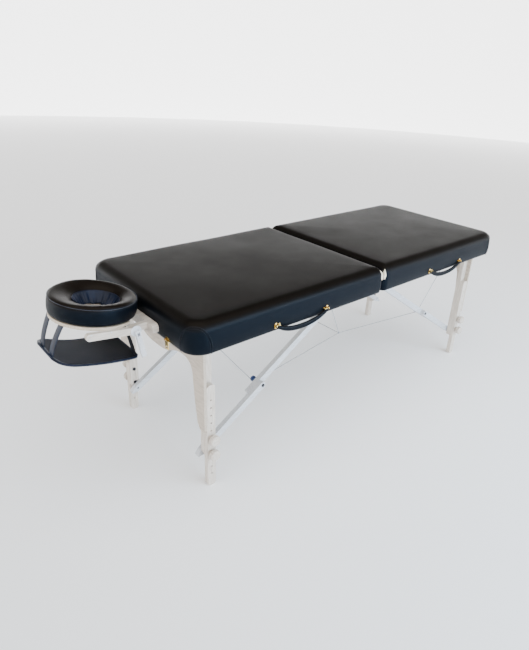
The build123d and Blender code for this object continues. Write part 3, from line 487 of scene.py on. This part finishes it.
def make_corner_patch(half, side):
    """Arched seam over an outer corner, with a row of stitches on each side of it."""
    count = 64
    half_width, rise, power = 0.056, 0.098, 2.4
    corner = Vector((half.middle.x + half.sign * (half.half.x - OUTER_CORNER),
                     half.middle.y + SIDES[side] * (half.half.y - OUTER_CORNER), 0))
    diagonal = atan2(SIDES[side], half.sign)

    def on_skin(offset, climb):
        """Point and outward normal at an arc offset from the corner's middle and a climb from the bottom."""
        straight = half.high.z - EDGE - half.low.z
        if climb < straight:
            inset, z, slant = -BULGE * sin(pi * climb / straight), half.low.z + climb, 0.0
        else:
            slant = min((climb - straight) / EDGE, pi / 2)
            inset, z = EDGE * (1 - cos(slant)), half.high.z - EDGE + EDGE * sin(slant)
        limit = OUTER_CORNER * pi / 4
        turn = max(-limit, min(limit, offset)) / OUTER_CORNER
        out = Vector((cos(diagonal + turn), sin(diagonal + turn), 0))
        spill = offset - turn * OUTER_CORNER
        tangent = Vector((-out.y, out.x, 0))
        point = corner + out * (OUTER_CORNER - inset) + tangent * spill + Vector((0, 0, z))
        return point, out * cos(slant) + Vector((0, 0, sin(slant)))

    def arch(grow):
        points, normals = [], []
        for k in range(count + 1):
            a = pi * k / count
            offset = (half_width + grow) * (1 if cos(a) > 0 else -1) * abs(cos(a)) ** (2 / power)
            point, normal = on_skin(offset, (rise + grow) * abs(sin(a)) ** (2 / power))
            points.append(point + normal * 0.0003)
            normals.append(normal)
        return points, normals

    name = f"{half.end}_{side}_corner"
    seam = tube(f"{name}_seam", arch(0)[0], 0.0011, 6)
    rows = [stitches(f"{name}_row", *arch(grow)) for grow in (-0.0035, 0.0035)]
    place(seam, f"{half.end}_section", "vinyl")
    place(join(f"{name}_stitches", rows), f"{half.end}_section", "vinyl", THREAD)


# ---- carrying handles ----------------------------------------------------------------------------
def make_handle(end):
    """Padded strap grip with two stitch rows, and screws with domed heads on its mounts."""
    low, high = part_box(f"{end}_handle")
    middle = (low + high) / 2
    reach, depth = (high.x - low.x) / 2 - 0.004, 0.0085
    face, top = middle.y - 0.0005, high.z - 0.007
    drop = top - low.z - 0.0105
    path = [Vector((middle.x + reach * t, face, top - drop * (1 - abs(t) ** 2.4)))
            for t in [k / 24 - 1 for k in range(49)]]
    rings = []
    for k, point in enumerate(path):
        t = k / 24 - 1
        swell = 1 - 0.45 * abs(t) ** 3
        ahead = (path[min(k + 1, 48)] - path[max(k - 1, 0)]).normalized()
        up = Vector((0, 1, 0)).cross(ahead).normalized() * -1
        section = rounded_section(0.0215, depth, 5)
        rings.append([point + up * a * swell + Vector((0, b, 0)) for a, b in section])
    place(new_mesh(f"{end}_grip", *bridge(rings)), f"{end}_handle_grip", "grip", None, f"{end}_handle")
    rows = []
    for lift in (-0.0062, 0.0062):
        line = [p + Vector((0, -depth / 2 - 0.0001, lift * (1 - 0.45 * abs(k / 24 - 1) ** 3)))
                for k, p in enumerate(path)][3:-3]
        rows.append(stitches(f"{end}_grip_row", line, [Vector((0, -1, 0))] * len(line), width=0.0009))
    place(join(f"{end}_grip_stitches", rows), f"{end}_handle_grip", "grip", THREAD)
    mount_low, mount_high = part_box(f"{end}_handle_mounts")
    dome = ((0.0048, 0), (0.0048, 0.0008), (0.0040, 0.0022), (0.0022, 0.0031), (0.0006, 0.0034))
    heads = []
    for outward, x in ((1, mount_low.x), (-1, mount_high.x)):
        for z in (-0.0075, 0.0075):
            spot = (x + outward * 0.0055, mount_high.y - 0.0020, (mount_low.z + mount_high.z) / 2 + z)
            heads.append(lathe(f"{end}_mount_screw", dome, spot, (0, -1, 0)))
    place(join(f"{end}_mount_screws", heads), f"{end}_section", "brass")


# ---- stay cables ---------------------------------------------------------------------------------
def make_cables():
    """Twisted wire over the CAD routes, each copy riding on the body of its route."""
    for node, body, joint in (("head_stay_cables", "head_section", "centre_fold_b"),
                              ("foot_stay_cables", "foot_section", "centre_fold_b"),
                              ("centre_cables", "centre_pins", "centre_fold_a")):
        source = frame["nodes"][node]
        wire = bpy.data.objects.new(f"{node}_wire", source.data.copy())
        bpy.context.scene.collection.objects.link(wire)
        place(wire, body, "cable", None, node)
        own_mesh(wire)


# ---- face cradle -----------------------------------------------------------------------------------
CUSHION_CENTRE = 0.080
CUSHION_RATIO = 150 / 143
CUSHION_PROFILE = (
    (0.0700, 0.0235), (0.1000, 0.0228), (0.1310, 0.0228), (0.1395, 0.0255), (0.1425, 0.0330),
    (0.1438, 0.0480), (0.1440, 0.0620), (0.1425, 0.0760), (0.1412, 0.0800), (0.1398, 0.0812),
    (0.1400, 0.0826), (0.1370, 0.0885), (0.1290, 0.0918), (0.1180, 0.0905), (0.1060, 0.0868),
    (0.0940, 0.0812), (0.0840, 0.0745), (0.0765, 0.0660), (0.0720, 0.0540), (0.0700, 0.0400))


def cradle_point(radius, angle, height):
    """A point on the cushion, by polar place about its middle and height above the tilt axle."""
    towards_table = 0.012 * min(1, max(0, (0.128 - radius) / 0.055))
    return (Vector((TILT_X, 0, TILT_Z)) + ALONG * (CUSHION_CENTRE - towards_table + radius * cos(angle))
            + Vector((0, 1, 0)) * radius * CUSHION_RATIO * sin(angle) + SQUARE * height)


def make_cushion():
    segments = 120
    angles = [2 * pi * k / segments for k in range(segments)]
    rings = []
    for radius, height in CUSHION_PROFILE:
        ring = []
        for a in angles:
            soft = 0.0011 * noise.noise(Vector((4 * cos(a), 4 * sin(a), height * 40)))
            dish = 0.005 * max(0, (height - 0.06) / 0.03) * cos(a) ** 2
            ring.append(cradle_point(radius + soft, a, height - dish))
        rings.append(ring)
    rings.append(rings[0])
    verts, faces = bridge(rings, caps=(False, False))
    count = len(rings[0]) * (len(rings) - 1)
    faces = [tuple(i % count for i in f) for f in faces]
    cushion = new_mesh("face_cushion", verts[:count], faces)
    cushion.modifiers.new("smooth", "SUBSURF").levels = 1
    cushion.modifiers["smooth"].render_levels = 1
    place(cushion, "cradle_top", "cushion", None, "cradle_cushion")
    path = [cradle_point(0.1405, a, 0.0812) for a in angles + angles[:1]]
    place(tube("face_cushion_seam", path, 0.0010, 6), "cradle_top", "cushion", THREAD)


def make_ruffle():
    """Gathered satin that lines the hole: folds deepen towards its drawn-in lower edge."""
    segments, levels = 240, 10
    rings = []
    for level in range(levels + 1):
        t = level / levels
        ring = []
        for k in range(segments):
            a = 2 * pi * k / segments
            fold = sin(17 * a + 1.7 * sin(3 * a)) + 0.5 * sin(31 * a + 2.1 * sin(5 * a))
            depth = 0.0005 + 0.0042 * t ** 1.4
            height = 0.0690 - 0.0400 * t + 0.0022 * t * sin(9 * a + 1.0)
            ring.append(cradle_point(0.0765 - 0.0260 * t ** 1.1 + depth * fold / 1.5, a, height))
        rings.append(ring)
    ruffle = new_mesh("cushion_ruffle", *bridge(rings, caps=(False, False)))
    solid = ruffle.modifiers.new("cloth", "SOLIDIFY")
    solid.thickness = 0.0008
    place(ruffle, "cradle_top", "cushion", NAVY)


def make_sling():
    """Padded tray with a bound hem, hung by four straps."""
    low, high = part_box("cradle_arm_sling")
    half_width, near, far = (high.y - low.y) / 2 - 0.002, high.x, low.x
    inner_z, rise = low.z + 0.0100, 0.059
    columns, rows = 44, 24

    def tray(a, b, lift=0.0):
        """Point on the tray: a runs 0 to 1 away from the table, b from -1 to 1 across it."""
        x = near + (far - near) * a
        y = b * half_width
        corner = 0.055 if a > 0.5 else 0.016
        inward_x = max(0, corner - (near - far) * min(a, 1 - a))
        reach = half_width - corner + (corner ** 2 - inward_x ** 2) ** 0.5
        y *= reach / half_width
        sag = (0.010 + 0.008 * (1 + b)) * sin(pi * a) ** 0.8
        return Vector((x, y, inner_z + rise * a - sag + lift))

    grid = [[tray(i / columns, 2 * j / rows - 1, -0.0045) for j in range(rows + 1)]
            for i in range(columns + 1)]
    verts, faces = bridge(grid, closed=False, caps=(False, False))
    pad = new_mesh("arm_sling", verts, faces)
    solid = pad.modifiers.new("padding", "SOLIDIFY")
    solid.thickness, solid.offset = 0.0075, 0
    pad.modifiers.new("smooth", "SUBSURF").render_levels = 1
    place(pad, "cradle_top", "sling", None, "cradle_arm_sling")
    edge = [tray(k / 30, -1) for k in range(31)] + [tray(1, 2 * k / 24 - 1) for k in range(1, 25)]
    edge += [tray(1 - k / 30, 1) for k in range(1, 31)] + [tray(0, 1 - 2 * k / 24) for k in range(1, 25)]
    hem = [p - Vector((0, 0, 0.0045)) for p in edge]
    place(sweep_round("arm_sling_hem", hem, 0.0054), "cradle_top", "sling", NAVY)
    under = Vector((TILT_X, 0, TILT_Z)) + SQUARE * 0.0118
    strap = rounded_section(0.034, 0.0026, 3)
    for label, start_a, along, out in (("outer", 0.985, 0.203, 0.056), ("inner", 0.02, 0.020, 0.100)):
        for side, sign in SIDES.items():
            y = sign * out
            foot = tray(start_a, y / half_width)
            top = under + ALONG * along + Vector((0, y * 0.95, 0))
            bow = Vector((-0.004 if label == "outer" else 0.003, 0, 0))
            path = smooth_path([foot + Vector((0, 0, -0.003)), foot.lerp(top, 0.35) + bow,
                                foot.lerp(top, 0.7) + bow * 0.8, top])
            place(sweep(f"{side}_{label}_strap", path, strap, (0, 1, 0)), "cradle_top", "sling",
                  NAVY if label == "outer" else None)


def sweep_round(name, path, radius, sides=10):
    """Closed piping along a loop, its section kept square to the path."""
    rings, count = [], len(path) - 1
    for k in range(count):
        ahead = (path[(k + 1) % count] - path[(k - 1) % count]).normalized()
        out = ahead.cross(Vector((0, 0, 1))).normalized()
        up = out.cross(ahead).normalized()
        turns = [2 * pi * j / sides for j in range(sides)]
        rings.append([path[k] + out * radius * cos(a) + up * radius * 0.8 * sin(a) for a in turns])
    verts, faces = bridge(rings + [rings[0]], caps=(False, False))
    total = count * sides
    return new_mesh(name, verts[:total], [tuple(i % total for i in f) for f in faces])


def make_cradle_hardware():
    """Small screws along the outer faces of the tilting arms."""
    screws = []
    head = ((0.0030, 0), (0.0030, 0.0004), (0.0022, 0.0012), (0.0004, 0.0015))
    for sign in SIDES.values():
        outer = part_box("cradle_arms")[1].y
        for along, height in ((0.155, -0.004), (0.150, 0.008), (0.085, 0.009)):
            spot = Vector((TILT_X, sign * outer, TILT_Z)) + ALONG * along + SQUARE * height
            screws.append(lathe("arm_screw", head, spot, (0, sign, 0), 16))
    place(join("cradle_arm_screws", screws), "cradle_top", "steel")


# ---- make everything -------------------------------------------------------------------------------
make_camera()
make_stage()
dress_cad_nodes()
for end in ENDS:
    make_cover(end)
    make_handle(end)
make_cables()
make_cushion()
make_ruffle()
make_sling()
make_cradle_hardware()
